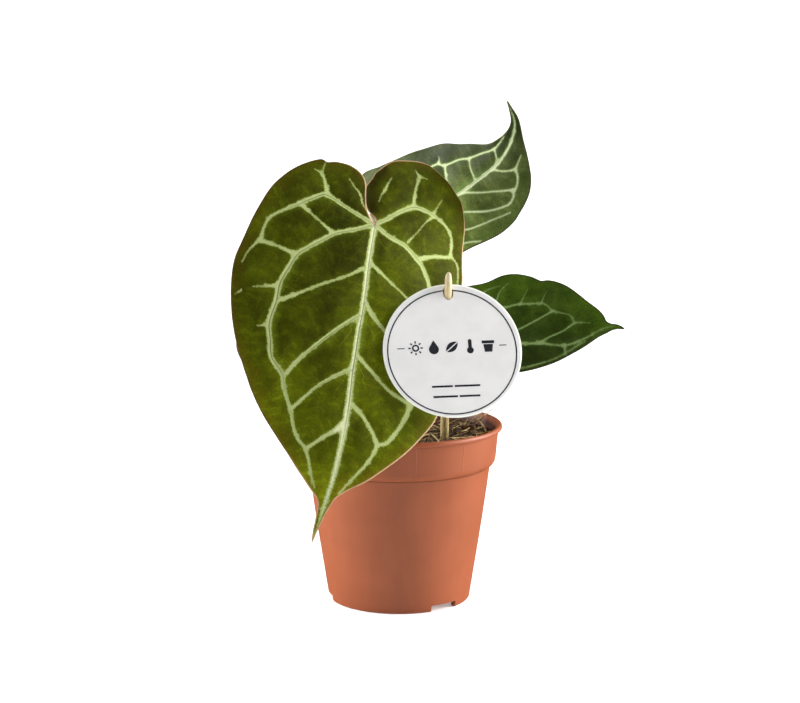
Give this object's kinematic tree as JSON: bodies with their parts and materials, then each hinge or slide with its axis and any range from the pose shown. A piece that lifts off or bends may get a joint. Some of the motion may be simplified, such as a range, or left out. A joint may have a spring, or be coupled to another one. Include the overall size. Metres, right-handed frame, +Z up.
{
  "type": "potted anthurium",
  "caption": "Young velvet-leaved anthurium with pale-veined heart-shaped leaves in a tapered nursery pot, with a wooden stake carrying a round plant label.",
  "frame": {"origin": "centre of the bounding box seen from above, on the surface the pot stands on", "axes": "+Z up along the pot's axis, -Y towards the face of the large front leaf and of the label, +X to the right of it; the pot's axis is 15.5 mm towards -X and 5.4 mm towards +Y of the origin"},
  "size_m": [0.2272, 0.1694, 0.2891],
  "materials": {
    "terracotta_plastic": "satin",
    "peat": "matte",
    "leaf": "satin",
    "petiole": "satin",
    "wood": "matte",
    "card": "satin",
    "dry_sheath": "matte",
    "aerial_root": "matte",
    "bark": "matte",
    "straw": "matte"
  },
  "bodies": {
    "root": {"aerial_root_1": "aerial_root", "aerial_root_2": "aerial_root", "aerial_root_3": "aerial_root", "bark_chip_1": "bark", "bark_chip_2": "bark", "bark_chip_3": "bark", "bark_chip_4": "bark", "bark_chip_5": "bark", "bark_chip_6": "bark", "bark_chip_7": "bark", "bark_chip_8": "bark", "cataphyll_1": "dry_sheath", "cataphyll_2": "dry_sheath", "cataphyll_3": "dry_sheath", "label_disc": "card", "label_stake": "wood", "leaf_back_left": "leaf", "leaf_front": "leaf", "leaf_lower_right": "leaf", "leaf_upper_right": "leaf", "petiole_back_left": "petiole", "petiole_front": "petiole", "petiole_lower_right": "petiole", "petiole_upper_right": "petiole", "plant_crown": "petiole", "pot": "terracotta_plastic", "potting_soil": "peat", "straw_1": "straw", "straw_2": "straw", "straw_3": "straw", "straw_4": "straw", "straw_5": "straw"}
  },
  "joints": []
}
